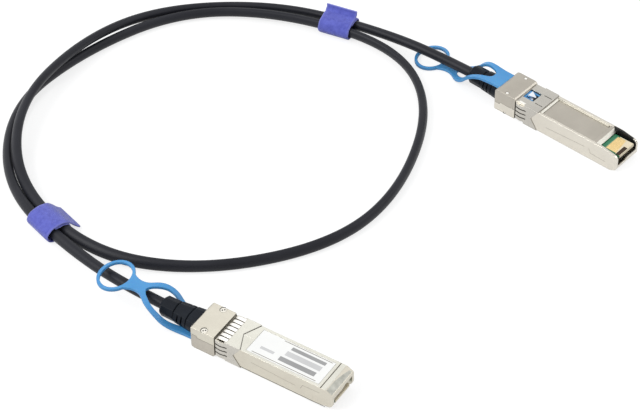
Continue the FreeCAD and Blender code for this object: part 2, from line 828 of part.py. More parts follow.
def strain_relief(label, placement):
    """Segmented rubber boot, wide at the hood, with a neck and flange held inside the shells."""
    long = relief_long.number
    outside = [(-0.02, 9.8, 6.6, 2.6), (-3.7, 9.1, 6.6, 2.7), (-3.95, 8.0, 5.6, 2.5),
               (-4.2, 8.9, 6.7, 2.8), (-9.5, 7.9, 6.9, 3.1), (-9.75, 6.9, 5.9, 2.7),
               (-10.0, 7.5, 7.1, 3.2), (0.5 - long, 7.3, 7.1, 3.2), (-long, 6.5, 6.3, 2.8)]
    sleeve = Part.makeLoft([rounded_section(*entry) for entry in outside], True, True)
    wide = neck_half.number * 2 - 0.1
    neck = Part.makeLoft([rounded_section(-0.05, wide, neck_tall.number, 1.0),
                          rounded_section(rear_wall.number + 0.1, wide, neck_tall.number, 1.0)],
                         True, True)
    flange_from = (rear_wall + fit_gap).number
    flange = Part.makeLoft([rounded_section(flange_from, wide + 1.3, flange_tall.number, 1.2),
                            rounded_section(flange_from + 1.2, wide + 1.3, flange_tall.number, 1.2)],
                           True, True)
    boot = sleeve.fuse([neck, flange])
    bore = Part.makeCylinder((cable_thick / 2 + relief_gap).number, long + 10,
                             Vector(-long - 2, 0, cable_height.number), Vector(1, 0, 0))
    slots = [Part.makeBox(0.6, 3.0, 5.6, Vector(along, side, cable_height.number - 3.6))
             for along in (-8.0, -6.2) for side in (3.3, -6.3)]
    boot = boot.cut([bore] + slots).removeSplitter()
    return plain_feature(label, boot.Solids[0], placement)


def crimp_ferrule(label, placement):
    """Brass ring crimped on the end of the jacket inside the hood."""
    body = new_body(label, placement)
    ring = new_sketch(body, "YZ_Plane", "ring", ferrule_from)
    disc(ring, 0, cable_height, cable_thick + ferrule_wall * 2)
    disc(ring, 0, cable_height, cable_thick + 0.02)
    pad(body, ring, ferrule_long)
    return body


def twinax_pairs(label, placement):
    """The two shielded pairs, from the crimped end of the jacket to the paddle card."""
    core = pair_thick.number
    height = card_low.number - core / 2 - 0.02
    start = jacket_end.number + 0.1
    end = card_from.number + 2.9
    pairs = [tube_along([Vector(start, side * 0.85, cable_height.number),
                         Vector(end, side * 2.2, height)], core)[0] for side in (-1, 1)]
    return plain_feature(label, Part.makeCompound(pairs), placement)


# ---------------------------------------------------------------- card, contacts and trims


def paddle_card(label, placement):
    """The board, with a narrower tongue where it enters the host's connector."""
    body = new_body(label, placement)
    board = new_sketch(body, "XY_Plane", "board", card_low)
    outline(board, [(card_from, -card_half), (tongue_from, -card_half),
                    (tongue_from, -tongue_half), (card_to - 0.5, -tongue_half),
                    (card_to, 0.5 - tongue_half), (card_to, tongue_half - 0.5),
                    (card_to - 0.5, tongue_half), (tongue_from, tongue_half),
                    (tongue_from, card_half), (card_from, card_half)])
    pad(body, board, card_thick)
    return body


def contact_pads(label, placement):
    """Ten gold fingers on each side of the card's edge: the first six stop short of it."""
    pads = []
    tip = card_to.number
    for low in (card_top.number, card_low.number - pad_thick):
        for number in range(10):
            middle = (number - 4.5) * pad_pitch
            rear = tip - (6.1 if number % 3 else 6.6)
            front = tip - (1.9 if number < 6 else 0.4)
            pads.append(Part.makeBox(front - rear, pad_wide, pad_thick,
                                     Vector(rear, middle - pad_wide / 2, low)))
    return plain_feature(label, Part.makeCompound(pads), placement)


def flat_box(label, placement, near_corner, long, wide, tall):
    """A Part::Box whose lengths are bound to sizes, at a place in the plug's frame."""
    box = doc.addObject("Part::Box", label)
    box.Label = label
    for side, value in (("Length", long), ("Width", wide), ("Height", tall)):
        setattr(box, side, value.number)
        box.setExpression(side, value.formula)
    box.Placement = placement.multiply(Placement(near_corner, Rotation()))
    return box


def memory_chip(label, placement):
    corner = Vector(card_from.number + 12.4, -chip_wide.number / 2, (card_low - chip_tall).number)
    return flat_box(label, placement, corner, chip_long, chip_wide, chip_tall)


def housing_screws(label, placement):
    """Two screws sunk in open counterbores on the label side, their ends shown on the latch side."""
    screws = []
    for side in (-1, 1):
        place = Vector(screw_at.number, side * screw_off.number, 0)
        head = Part.makeCylinder(head_thick.number / 2, head_deep.number - 0.08,
                                 place + Vector(0, 0, 0.08))
        shank = Part.makeCylinder(screw_thick.number / 2, hood_tall.number - 0.7,
                                  place + Vector(0, 0, 0.55))
        screws.append(head.fuse(shank))
    return plain_feature(label, Part.makeCompound(screws), placement)


def label_plate(label, placement):
    long = label_bed_to - label_bed_from - 0.4
    wide = label_bed_half * 2 - 0.2
    corner = Vector(label_bed_from.number + 0.2, -wide.number / 2, body_low.number + 0.02)
    return flat_box(label, placement, corner, long, wide, label_thick)


# ---------------------------------------------------------------- ties


def ribbon(line, thick):
    """A face of even thickness along a line of points in the y-z plane."""
    upper = []
    lower = []
    for index, point in enumerate(line):
        ahead = line[min(index + 1, len(line) - 1)] - line[max(index - 1, 0)]
        ahead.normalize()
        offset = Vector(0, -ahead.z, ahead.y) * (thick / 2)
        upper.append(point + offset)
        lower.append(point - offset)
    return Part.Face(Part.makePolygon(upper + lower[::-1] + [upper[0]]))


def tie(label, spacing, tail, placement):
    """Hook-and-loop strap round two strands, with its loose tail. x runs along the strands.

    The tail is a list of places: how far across, and how high as a share of the strap's height.
    """
    thick = tie_thick.number
    wide = tie_wide.number
    room = (cable_thick / 2 + tie_room).number
    middle = thick + room
    half = spacing / 2

    def racetrack(reach):
        mid = Part.makeBox(wide, spacing, 2 * reach, Vector(-wide / 2, -half, middle - reach))
        ends = [Part.makeCylinder(reach, wide, Vector(-wide / 2, side * half, middle),
                                  Vector(1, 0, 0)) for side in (-1, 1)]
        return mid.fuse(ends)

    strap = racetrack(room + thick).cut(racetrack(room))
    line = [Vector(-wide / 2, across, share * middle * 2) for across, share in tail]
    flap = ribbon(line, thick).extrude(Vector(wide, 0, 0))
    return plain_feature(label, strap.fuse(flap).removeSplitter().Solids[0], placement)


# ---------------------------------------------------------------- the assembly

plug_makers = [("label_side_shell", label_side_shell), ("latch_side_shell", latch_side_shell),
               ("spring_collar", spring_collar), ("latch_lever", latch_lever),
               ("lever_pin", lever_pin), ("latch_spring", latch_spring), ("pull_tab", pull_tab),
               ("strain_relief", strain_relief), ("crimp_ferrule", crimp_ferrule),
               ("twinax_pairs", twinax_pairs), ("paddle_card", paddle_card),
               ("contact_pads", contact_pads), ("memory_chip", memory_chip),
               ("housing_screws", housing_screws), ("label_plate", label_plate)]

# plug a lies on its latch face, so its own z runs downwards; plug b lies on its label face
lying = {
    "a": Placement(Vector(plug_a_x.number, plug_a_y.number, hood_tall.number),
                   Rotation(plug_a_turn.number, 0, 180)),
    "b": Placement(Vector(plug_b_x.number, plug_b_y.number, 0),
                   Rotation(plug_b_turn.number, 0, 0)),
}

parts = []
for suffix, placement in lying.items():
    for name, make in plug_makers:
        parts.append(make(f"{name}_{suffix}", placement))


def on_axis(suffix, along):
    """A point on the cable's axis in a plug, measured forwards from the back of its hood."""
    return lying[suffix].multVec(Vector(along, 0, cable_height.number))


relief_run = -26.5
route = [on_axis("a", jacket_end.number), on_axis("a", relief_run),
         Vector(-107.0, -24.7, 3.6), Vector(-136.8, 11.3, 2.6), Vector(-139.5, 57.6, 2.05),
         Vector(-114.0, 91.6, 2.05), Vector(-77.0, 117.1, 2.05), Vector(-35.5, 115.1, 3.4),
         Vector(9.1, 94.7, 2.9), Vector(21.5, 59.1, 2.05), Vector(9.0, 10.6, 2.05),
         Vector(-16.5, -18.4, 2.05), Vector(-62.5, -31.4, 2.05), Vector(-102.8, -23.9, 3.1),
         Vector(-132.2, 12.9, 3.3), Vector(-135.3, 54.1, 10.2), Vector(-114.5, 95.6, 10.2),
         Vector(-84.0, 120.6, 2.1), Vector(-35.5, 121.6, 2.3), Vector(4.7, 101.7, 3.9),
         on_axis("b", relief_run), on_axis("b", jacket_end.number)]
parts.append(plain_feature("cable_jacket", cable_tube(route, cable_thick.number)))

drooping = [(-0.5, 0.92), (-3.4, 0.95), (-5.7, 0.74), (-7.3, 0.43), (-8.8, 0.17)]
raised = [(0.0, 0.92), (1.4, 0.99), (2.6, 1.15), (3.2, 1.37)]
parts.append(tie("cable_tie_a", 4.2, drooping,
                 Placement(Vector(-119.0, -7.1, 0), Rotation(129.3, 0, 0))))
parts.append(tie("cable_tie_b", 5.1, raised,
                 Placement(Vector(-12.7, 107.5, 0), Rotation(-25.0, 0, 0))))

# ---------------------------------------------------------------- check and write

doc.recompute()
for item in doc.Objects:
    if "Invalid" in item.State or "Error" in item.State:
        raise RuntimeError(f"{item.Label}: {item.State}")

os.makedirs("parts", exist_ok=True)
for part in parts:
    shape = part.Shape
    if shape.isNull() or not shape.isValid():
        raise RuntimeError(f"{part.Label} has no valid shape")
    shape.exportStep(f"parts/{part.Label}.step")
print(f"{len(parts)} sub-parts")
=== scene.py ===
import bpy
import bmesh
import math
from mathutils import Matrix, Vector


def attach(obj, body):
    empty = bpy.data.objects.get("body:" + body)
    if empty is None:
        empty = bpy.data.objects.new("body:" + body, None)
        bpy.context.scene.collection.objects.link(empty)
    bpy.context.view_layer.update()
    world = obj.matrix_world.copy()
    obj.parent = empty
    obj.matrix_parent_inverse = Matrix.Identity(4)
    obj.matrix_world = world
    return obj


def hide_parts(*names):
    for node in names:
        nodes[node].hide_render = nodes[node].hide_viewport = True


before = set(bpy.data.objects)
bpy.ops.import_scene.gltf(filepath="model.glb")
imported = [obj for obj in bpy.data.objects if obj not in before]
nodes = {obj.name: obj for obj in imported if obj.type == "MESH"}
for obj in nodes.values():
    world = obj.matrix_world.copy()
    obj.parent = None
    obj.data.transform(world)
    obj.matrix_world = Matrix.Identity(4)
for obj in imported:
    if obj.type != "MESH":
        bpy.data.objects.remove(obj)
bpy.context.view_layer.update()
BASE = "cable_and_plugs"
MM = 0.001
UP = Vector((0, 0, 1))
DOWN = Vector((0, 0, -1))
AHEAD = Vector((1, 0, 0))

# Each plug's place on the floor and height in millimetres, its turn and roll in degrees, and the
# height of the cable's axis where it leaves the plug. Plug a lies on its latch face, rolled over.
PLUGS = {
    "a": {"x": -61.2, "y": -60.0, "height": 9.6, "turn": -32.5, "roll": 180.0, "axis": 5.4},
    "b": {"x": 50.9, "y": 65.4, "height": 0.0, "turn": -41.4, "roll": 0.0, "axis": 4.2},
}

# ---------------------------------------------------------------- camera

CAMERA_PLACE = (-0.0205, -0.5906, 0.5555)
CAMERA_TILT = 47.0
LENS = 124.8
SENSOR = 36.0
NEAREST = 0.01
FARTHEST = 20.0


def add_camera():
    """The photograph's long lens, which looks down at the object from the front."""
    camera = bpy.data.objects.new("camera", bpy.data.cameras.new("camera"))
    bpy.context.scene.collection.objects.link(camera)
    camera.location = CAMERA_PLACE
    camera.rotation_euler = (math.radians(CAMERA_TILT), 0, 0)
    camera.data.lens = LENS
    camera.data.sensor_width = SENSOR
    camera.data.clip_start = NEAREST
    camera.data.clip_end = FARTHEST
    bpy.context.scene.camera = camera
    bpy.context.scene.view_settings.view_transform = "Standard"


add_camera()

# ---------------------------------------------------------------- helpers


def smoothstep(t):
    """t held between 0 and 1 and eased at both ends."""
    t = min(max(t, 0.0), 1.0)
    return t * t * (3 - 2 * t)


def keyed(keys, t):
    """The value at t of a list of (t, value), eased from one to the next."""
    if t <= keys[0][0]:
        return keys[0][1]
    for (t0, v0), (t1, v1) in zip(keys, keys[1:]):
        if t <= t1:
            return v0 + (v1 - v0) * smoothstep((t - t0) / (t1 - t0))
    return keys[-1][1]


def link(name, mesh, material):
    """A new object of the mesh in the scene, with the material in its first slot."""
    piece = bpy.data.objects.new(name, mesh)
    bpy.context.scene.collection.objects.link(piece)
    mesh.materials.append(material)
    return piece


def smooth_line(points, steps):
    """Catmull-Rom points through a short list."""
    ends = [points[0] * 2 - points[1]] + points + [points[-1] * 2 - points[-2]]
    line = []
    for a, b, c, d in zip(ends, ends[1:], ends[2:], ends[3:]):
        for k in range(steps):
            t = k / steps
            line.append(0.5 * (2 * b + (c - a) * t + (2 * a - 5 * b + 4 * c - d) * t * t
                               + (3 * b - a - 3 * c + d) * t * t * t))
    line.append(points[-1])
    return line


def direction(line, index):
    """The way along a line at one of its points, from the point before to the one after."""
    return (line[min(index + 1, len(line) - 1)] - line[max(index - 1, 0)]).normalized()


def line_length(line):
    return sum((b - a).length for a, b in zip(line, line[1:]))


def wall(form, first, second):
    """Faces between two rings with as many corners each, in the rings' order."""
    faces = []
    for number in range(len(first)):
        following = (number + 1) % len(first)
        faces.append(form.faces.new((first[number], first[following],
                                     second[following], second[number])))
    return faces


# ---------------------------------------------------------------- materials

# a noise runs from the darker to the lighter value between these two levels
NOISE_LOW = 0.3
NOISE_HIGH = 0.7
# how far, in metres, painted shade reaches from a metal's seams and corners, where ambient occlusion
# darkens its colour
PAINTED_SHADE_REACH = 0.0009
METAL_GRAIN_DEPTH = 0.000012
SUBSURFACE_SCALE = 0.0008


def colour_of(red, green, blue):
    """Linear colour of an sRGB one given from 0 to 255."""
    out = []
    for value in (red, green, blue):
        value /= 255
        out.append(value / 12.92 if value <= 0.04045 else ((value + 0.055) / 1.055) ** 2.4)
    return tuple(out)


class Shader:
    """A small builder for node materials."""

    def __init__(self, name):
        self.material = bpy.data.materials.new(name)
        self.material.use_nodes = True
        self.tree = self.material.node_tree
        self.surface = self.tree.nodes["Principled BSDF"]

    def node(self, kind, **values):
        """A new node, each value set on its input or, failing that, on the node."""
        made = self.tree.nodes.new(kind)
        for key, value in values.items():
            if key in made.inputs:
                made.inputs[key].default_value = value
            else:
                setattr(made, key, value)
        return made

    def join(self, out, into):
        self.tree.links.new(out, into)

    def feed(self, out, name):
        """Join an output to the surface's input of that name."""
        self.join(out, self.surface.inputs[name])

    def set(self, **values):
        """Plain values for the surface's inputs, named with _ for each space."""
        for key, value in values.items():
            self.surface.inputs[key.replace("_", " ")].default_value = value

    def place(self, kind="Object"):
        return self.node("ShaderNodeTexCoord").outputs[kind]

    def noise(self, scale, detail=3.0, coordinates=None, stretch=None):
        """A noise over the object's own coordinates, or over others, stretched by axis."""
        made = self.node("ShaderNodeTexNoise", Scale=scale, Detail=detail)
        source = coordinates or self.place()
        if stretch:
            mapping = self.node("ShaderNodeMapping")
            mapping.inputs["Scale"].default_value = stretch
            self.join(source, mapping.inputs["Vector"])
            source = mapping.outputs[0]
        self.join(source, made.inputs["Vector"])
        return made.outputs["Fac"]

    def ramp(self, value, stops):
        """Colours by value, from a list of (value, colour)."""
        made = self.node("ShaderNodeValToRGB")
        points = made.color_ramp.elements
        while len(points) < len(stops):
            points.new(0.5)
        for point, (where, colour) in zip(points, stops):
            point.position = where
            point.color = (*colour, 1)
        self.join(value, made.inputs[0])
        return made.outputs[0]

    def cloudy(self, noise, dark, light):
        """The dark colour where the noise is low and the light one where it is high."""
        return self.ramp(noise, [(NOISE_LOW, dark), (NOISE_HIGH, light)])

    def grey(self, value, low, high, start=NOISE_LOW, end=NOISE_HIGH):
        return self.ramp(value, [(start, (low,) * 3), (end, (high,) * 3)])

    def mix(self, factor, first, second, blend_type="MIX"):
        """Two colours mixed; each argument is an output or a plain value."""
        made = self.node("ShaderNodeMix", data_type="RGBA", blend_type=blend_type)
        for source, into in ((factor, made.inputs["Factor"]), (first, made.inputs[6]),
                             (second, made.inputs[7])):
            if isinstance(source, (float, tuple)):
                into.default_value = source
            else:
                self.join(source, into)
        return made.outputs[2]

    def bump(self, value, depth, strength=1.0, before=None):
        """The normal, roughened by the value to a depth in metres."""
        made = self.node("ShaderNodeBump", Strength=strength, Distance=depth)
        self.join(value, made.inputs["Height"])
        if before:
            self.join(before, made.inputs["Normal"])
        return made.outputs[0]

    def rounded(self, radius):
        """The normal, as if each edge were rounded to the radius in metres."""
        return self.node("ShaderNodeBevel", samples=6, Radius=radius).outputs[0]

    def shaded(self, colour, reach, depth):
        """The colour with painted shade: darker, by ambient occlusion, in seams and corners closer
        than the reach.
        """
        hidden = self.node("ShaderNodeAmbientOcclusion", samples=6, Distance=reach)
        shade = self.grey(hidden.outputs["AO"], 1 - depth, 1.0, 0.35, 0.8)
        return self.mix(1.0, colour, shade, "MULTIPLY")


def metal(name, light, dark, rough, grain=900.0, edge=0.00026, seam_shade_depth=0.45, patches=120.0):
    """Plated or rolled metal: a cloudy tone, a fine grain, rounded edges and painted shade in seams
    and corners.

    Light and dark are linear colours. The edge is a radius in metres, the seam shade depth says how
    much darker painted shade makes seams and corners, and patches is the scale of the clouds.
    """
    shader = Shader(name)
    shader.set(Metallic=1.0)
    skin = shader.cloudy(shader.noise(patches, 4.0), dark, light)
    # painted shade: the colour darkens by ambient occlusion in seams and corners
    shader.feed(shader.shaded(skin, PAINTED_SHADE_REACH, seam_shade_depth), "Base Color")
    fine = shader.noise(grain * 4, 3.0)
    shader.feed(shader.grey(fine, rough * 0.8, rough * 1.25), "Roughness")
    normal = shader.bump(shader.noise(grain, 5.0), METAL_GRAIN_DEPTH, 0.6, shader.rounded(edge))
    shader.feed(normal, "Normal")
    return shader.material


def plastic(name, light, dark, rough, grain, depth, edge, subsurface=0.0, gloss=0.5):
    """Moulded, printed or coated surface: a cloudy tone, a grain and rounded edges.

    Light and dark are sRGB colours from 0 to 255. Depth and edge are in metres.
    """
    shader = Shader(name)
    shader.set(Specular_IOR_Level=gloss)
    skin = shader.cloudy(shader.noise(90.0, 3.0), colour_of(*dark), colour_of(*light))
    shader.feed(skin, "Base Color")
    shader.feed(shader.grey(shader.noise(grain, 3.0), rough * 0.85, rough * 1.15), "Roughness")
    if subsurface:
        shader.set(Subsurface_Weight=subsurface, Subsurface_Scale=SUBSURFACE_SCALE)
    normal = shader.bump(shader.noise(grain, 4.0), depth, 0.5, shader.rounded(edge))
    shader.feed(normal, "Normal")
    return shader.material


def coating(name, light, dark, rough, gloss, depth=0.000005):
    """The plastic of a thin inlay, whose edges are too small to look round."""
    return plastic(name, light, dark, rough, grain=900.0, depth=depth, edge=0.00003, gloss=gloss)


nickel = metal("satin_nickel", (0.64, 0.61, 0.525), (0.59, 0.555, 0.475), rough=0.34)
# a lighter copy of the satin nickel, painted light for the right plug's shell
painted_light_nickel = metal("painted_light_nickel", (0.7, 0.665, 0.59), (0.655, 0.62, 0.55), rough=0.34)
latch_nickel = metal("latch_side_nickel", (0.49, 0.457, 0.4), (0.445, 0.415, 0.362), rough=0.36)
collar_metal = metal("rolled_collar", (0.555, 0.535, 0.488), (0.5, 0.48, 0.438), rough=0.30,
                     grain=300.0, edge=0.00005, seam_shade_depth=0.35)
steel = metal("latch_steel", (0.78, 0.77, 0.75), (0.66, 0.65, 0.63), rough=0.28)
screw_metal = metal("screw_metal", (0.78, 0.75, 0.68), (0.7, 0.67, 0.6), rough=0.3,
                    grain=1500.0, edge=0.00006, seam_shade_depth=0.2)
# the lever's steel is lightened to a bluish white: painted highlight in the latch's window
lever_steel = metal("lever_steel", (0.9, 0.93, 0.98), (0.78, 0.84, 0.93), rough=0.3,
                    edge=0.0001, seam_shade_depth=0.3)
gold = metal("contact_gold", (0.93, 0.72, 0.36), (0.86, 0.62, 0.28), rough=0.26,
             grain=2500.0, edge=0.00002)
brass = metal("ferrule_brass", (0.78, 0.58, 0.3), (0.66, 0.47, 0.22), rough=0.32)
# bright metal: the polish of the screws' ends, and painted highlight on the collar's fingers and
# cheek
polish_and_highlight = metal("polish_and_highlight_edge", (0.97, 0.95, 0.9), (0.92, 0.9, 0.85), rough=0.3,
                 edge=0.00006, seam_shade_depth=0.2)
# lighter metal for painted highlights on the slopes round the panel and ahead of the bar
painted_highlight_metal = metal("painted_highlight_face", (0.79, 0.77, 0.7), (0.74, 0.72, 0.65), rough=0.3,
                  edge=0.00006, seam_shade_depth=0.2)
lighter_face_metal = metal("lighter_band", (0.665, 0.655, 0.59), (0.62, 0.61, 0.545), rough=0.3,
               edge=0.00006, seam_shade_depth=0.2)
mottled_metal = metal("mottled_slope", (0.52, 0.52, 0.47), (0.34, 0.34, 0.305), rough=0.42,
             edge=0.00006, seam_shade_depth=0.2, patches=520.0)

blue = plastic("tab_blue", (80, 156, 214), (68, 144, 204), rough=0.42,
               grain=1800.0, depth=0.00001, edge=0.0004, subsurface=0.12)
black_rubber = plastic("boot_rubber", (24, 30, 38), (15, 19, 26), rough=0.44,
                       grain=2200.0, depth=0.000025, edge=0.00035, gloss=0.14)
resist = plastic("solder_resist", (40, 128, 88), (28, 108, 72), rough=0.3,
                 grain=600.0, depth=0.000006, edge=0.00003)
chip_black = plastic("chip_black", (35, 35, 37), (25, 25, 27), rough=0.5,
                     grain=3000.0, depth=0.00001, edge=0.0001)
film = plastic("label_film", (246, 246, 244), (240, 240, 238), rough=0.4,
               grain=1200.0, depth=0.000006, edge=0.00003)
foil = plastic("pair_foil", (190, 192, 196), (150, 152, 158), rough=0.3,
               grain=1500.0, depth=0.00003, edge=0.00005)

# painted shade: a dark finish for strips laid in gaps, grooves and slots, and along a shaded rim
painted_gap_shade = coating("painted_gap_shade", (70, 66, 58), (52, 49, 43), rough=0.6, gloss=0.2)
seam_grey = coating("seam_grey", (158, 152, 140), (140, 135, 124), rough=0.6, gloss=0.2)
# painted shade: a near-black finish for the screws' seats and holes and the inside of the mouth
painted_recess_shade = coating("painted_recess_shade", (30, 30, 30), (18, 18, 20), rough=0.45, gloss=0.3)
bare_board = coating("bare_board", (238, 226, 200), (226, 212, 182), rough=0.45, gloss=0.3)
board_brown = coating("board_brown", (62, 42, 20), (44, 30, 14), rough=0.45, gloss=0.3)
pale_resist = coating("pale_resist", (150, 186, 158), (132, 172, 142), rough=0.4, gloss=0.3)
field_grey = coating("field_grey", (168, 168, 168), (156, 156, 156), rough=0.6, gloss=0.2,
                     depth=0.000004)
field_pale = coating("field_pale", (212, 212, 212), (202, 202, 202), rough=0.6, gloss=0.2,
                     depth=0.000004)

# ---------------------------------------------------------------- finish of the CAD nodes

# by node name without the plug's letter
FINISHES = {
    "label_side_shell": nickel,
    "latch_side_shell": latch_nickel,
    "spring_collar": collar_metal,
    "latch_lever": lever_steel,
    "lever_pin": steel,
    "latch_spring": steel,
    "pull_tab": blue,
    "strain_relief": black_rubber,
    "crimp_ferrule": brass,
    "twinax_pairs": foil,
    "paddle_card": resist,
    "contact_pads": gold,
    "memory_chip": chip_black,
    "housing_screws": screw_metal,
    "label_plate": film,
}
# the right plug's shell takes a lighter copy of the satin nickel: painted light, since both plugs
# are the same part
ONE_NODE_FINISHES = {"label_side_shell_b": painted_light_nickel}


def dress_nodes():
    """Give each CAD node of the plugs its finish."""
    for name, node in nodes.items():
        base_name = name[:-2]
        finish = ONE_NODE_FINISHES.get(name) or FINISHES.get(base_name)
        if finish:
            node.data.materials.clear()
            node.data.materials.append(finish)


dress_nodes()

# ---------------------------------------------------------------- cable

JACKET_RADIUS = 2.0
# how much wider and thinner the jacket's oval is than the round, in millimetres
OVAL_WIDER = 0.38
OVAL_THINNER = 0.36
TUBE_SIDES = 28
UV_PER_METRE = 10
SPLINE_STEPS = 26
# the oval's lean from the horizontal, in degrees, by share of the cable's length
LEAN = [(0.0, 50), (0.06, 50), (0.14, 72), (0.24, 72), (0.32, 68), (0.42, 70), (0.48, 88),
        (0.575, 84), (0.62, 50), (0.70, 46), (0.78, 60), (0.86, 74), (0.93, 66), (1.0, 60)]
# how oval the jacket is, from 0 for round to 1, by share of the cable's length
OVAL = [(0.0, 0.0), (0.045, 0.0), (0.09, 0.6), (0.2, 0.8), (0.45, 1.0), (0.9, 0.8),
        (0.955, 0.0), (1.0, 0.0)]


def jacket_material():
    """Black jacket with faint marks drawn out along it."""
    shader = Shader("jacket")
    along = shader.place("UV")
    cloud = shader.noise(60.0, 4.0)
    shader.feed(shader.cloudy(cloud, colour_of(30, 31, 37), colour_of(40, 41, 47)), "Base Color")
    streak = shader.noise(6.0, 3.0, along, (400.0, 6.0, 1.0))
    shader.feed(shader.grey(streak, 0.36, 0.48), "Roughness")
    shader.set(Specular_IOR_Level=0.2)
    fine = shader.bump(shader.noise(1500.0, 4.0), 0.00002, 0.5)
    shader.feed(shader.bump(streak, 0.00003, 0.4, fine), "Normal")
    return shader.material


def on_axis(plug, along):
    """The point on a plug's cable axis that lies so far ahead of the hood's cable end."""
    at = PLUGS[plug]
    turn = math.radians(at["turn"])
    return (at["x"] + along * math.cos(turn), at["y"] + along * math.sin(turn), at["axis"])


# the cable's route, in millimetres, from plug a round the coil to plug b
route = [on_axis("a", 3.0), on_axis("a", -26.5),
         (-107.0, -24.7, 3.6), (-136.7, 11.3, 2.4), (-139.3, 57.6, 2.3),
         (-114.0, 91.7, 2.3), (-77.2, 117.2, 2.3), (-35.5, 115.0, 3.4),
         (9.1, 94.4, 2.9), (22.3, 59.1, 2.5), (9.4, 9.9, 2.5),
         (-16.1, -19.0, 2.45), (-62.5, -32.0, 2.4), (-102.8, -23.9, 3.1),
         (-132.8, 12.9, 3.3), (-135.8, 54.1, 8.0), (-113.6, 93.6, 7.2),
         (-83.6, 119.3, 2.4), (-35.5, 121.2, 2.3), (4.7, 101.6, 3.9),
         on_axis("b", -26.5), on_axis("b", 3.0)]


def route_line():
    """The smooth line of the cable, read from a NURBS spline on the route's points."""
    curve = bpy.data.curves.new("route", "CURVE")
    curve.dimensions = "3D"
    spline = curve.splines.new("NURBS")
    spline.points.add(len(route) - 1)
    for point, place in zip(spline.points, route):
        point.co = (*(value * MM for value in place), 1.0)
    spline.order_u = 3
    spline.use_endpoint_u = True
    spline.resolution_u = SPLINE_STEPS
    holder = bpy.data.objects.new("route", curve)
    bpy.context.scene.collection.objects.link(holder)
    bpy.context.view_layer.update()
    mesh = bpy.data.meshes.new_from_object(holder)
    line = [vertex.co.copy() for vertex in mesh.vertices]
    bpy.data.objects.remove(holder)
    bpy.data.meshes.remove(mesh)
    return line


def jacket_ring(form, line, index, share):
    """The corners of the jacket's oval section at one point of the line."""
    ahead = direction(line, index)
    side = ahead.cross(UP).normalized()
    up = side.cross(ahead).normalized()
    angle = math.radians(keyed(LEAN, share))
    oval = keyed(OVAL, share)
    wide = (JACKET_RADIUS + OVAL_WIDER * oval) * MM
    thin = (JACKET_RADIUS - OVAL_THINNER * oval) * MM
    major = side * math.cos(angle) + up * math.sin(angle)
    minor = up * math.cos(angle) - side * math.sin(angle)
    ring = []
    for number in range(TUBE_SIDES):
        turn = 2 * math.pi * number / TUBE_SIDES
        spot = line[index] + major * wide * math.cos(turn) + minor * thin * math.sin(turn)
        ring.append(form.verts.new(spot))
    return ring


def cable():
    """The jacket as a closed tube, mapped round and along it, and its line."""
    line = route_line()
    length = line_length(line)
    distances = [line_length(line[:number + 1]) for number in range(len(line))]
    mesh = bpy.data.meshes.new("cable")
    form = bmesh.new()
    uv = form.loops.layers.uv.new("UVMap")
    rings = [jacket_ring(form, line, index, distance / length)
             for index, distance in enumerate(distances)]
    for index, (first, second) in enumerate(zip(rings, rings[1:])):
        for number, face in enumerate(wall(form, first, second)):
            face.smooth = True
            marks = ((number, index), (number + 1, index), (number + 1, index + 1),
                     (number, index + 1))
            for loop, (turn, where) in zip(face.loops, marks):
                loop[uv].uv = (turn / TUBE_SIDES, distances[where] * UV_PER_METRE)
    form.faces.new(rings[0][::-1])
    form.faces.new(rings[-1])
    form.normal_update()
    form.to_mesh(mesh)
    form.free()
    return link("cable", mesh, jacket_material()), line


cable_piece, cable_line = cable()
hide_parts("cable_jacket")
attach(cable_piece, BASE)

# ---------------------------------------------------------------- ties

STRAP_WIDE = 13.2
STRAP_THICK = 0.8
# places across a strap, as shares of its width from the middle
STRAP_COLUMNS = [-0.5, -0.485, -0.45, -0.3, -0.1, 0.1, 0.3, 0.45, 0.485, 0.5]
# a strap thins to its cut edges beyond this share of its width, over the next share
STRAP_FLAT = 0.45
STRAP_ROUND = 0.052
STRAP_RIPPLE = 0.06
# the cut edges' colour reaches in by this share of the width
RIM_SHARE = 0.06
BLACK = (0, 0, 0)
WHITE = (1, 1, 1)


def tie_material(name, light, dark, rim):
    """One face of a hook-and-loop strap: its pile, its weave and its paler cut edges."""
    shader = Shader(name)
    across = shader.place("UV")
    parts = shader.node("ShaderNodeSeparateXYZ")
    shader.join(across, parts.inputs[0])
    body = shader.cloudy(shader.noise(700.0, 4.0), colour_of(*dark), colour_of(*light))
    edge = shader.ramp(parts.outputs[0], [(0.0, WHITE), (RIM_SHARE, BLACK),
                                          (1 - RIM_SHARE, BLACK), (1.0, WHITE)])
    shader.feed(shader.mix(edge, body, (*colour_of(*rim), 1)), "Base Color")
    shader.set(Roughness=0.9, Sheen_Weight=0.5, Sheen_Roughness=0.4)
    pile = shader.noise(2600.0, 3.0)
    wave = shader.node("ShaderNodeTexWave", Scale=260.0, Distortion=4.0, Detail=2.0)
    wave.inputs["Detail Scale"].default_value = 3.0
    shader.join(across, wave.inputs["Vector"])
    coarse = shader.bump(wave.outputs["Fac"], 0.00006, 0.5)
    shader.feed(shader.bump(pile, 0.00012, 0.7, coarse), "Normal")
    return shader.material


tie_finish = tie_material("tie_weave", (102, 109, 204), (82, 88, 182), rim=(122, 127, 208))
hook_finish = tie_material("tie_hooks", (60, 60, 190), (44, 44, 162), rim=(70, 72, 176))


def strap_row(form, place, line, index):
    """The corners of a strap's section at one point of its line: one face, then the other."""
    ahead = direction(line, index)
    normal = Vector((0, -ahead.z, ahead.y))
    row = []
    for sign in (1, -1):
        for share in STRAP_COLUMNS:
            past = max(0.0, abs(share) - STRAP_FLAT) / STRAP_ROUND
            round_off = math.sqrt(max(0.0, 1 - past ** 2))
            lift = normal * STRAP_THICK * 0.5 * sign * round_off
            ripple = STRAP_RIPPLE * math.sin(index * 0.55 + share * 5)
            spot = line[index] + lift + Vector((share * STRAP_WIDE + ripple, 0, 0))
            row.append(form.verts.new(place @ (spot * MM)))
    return row


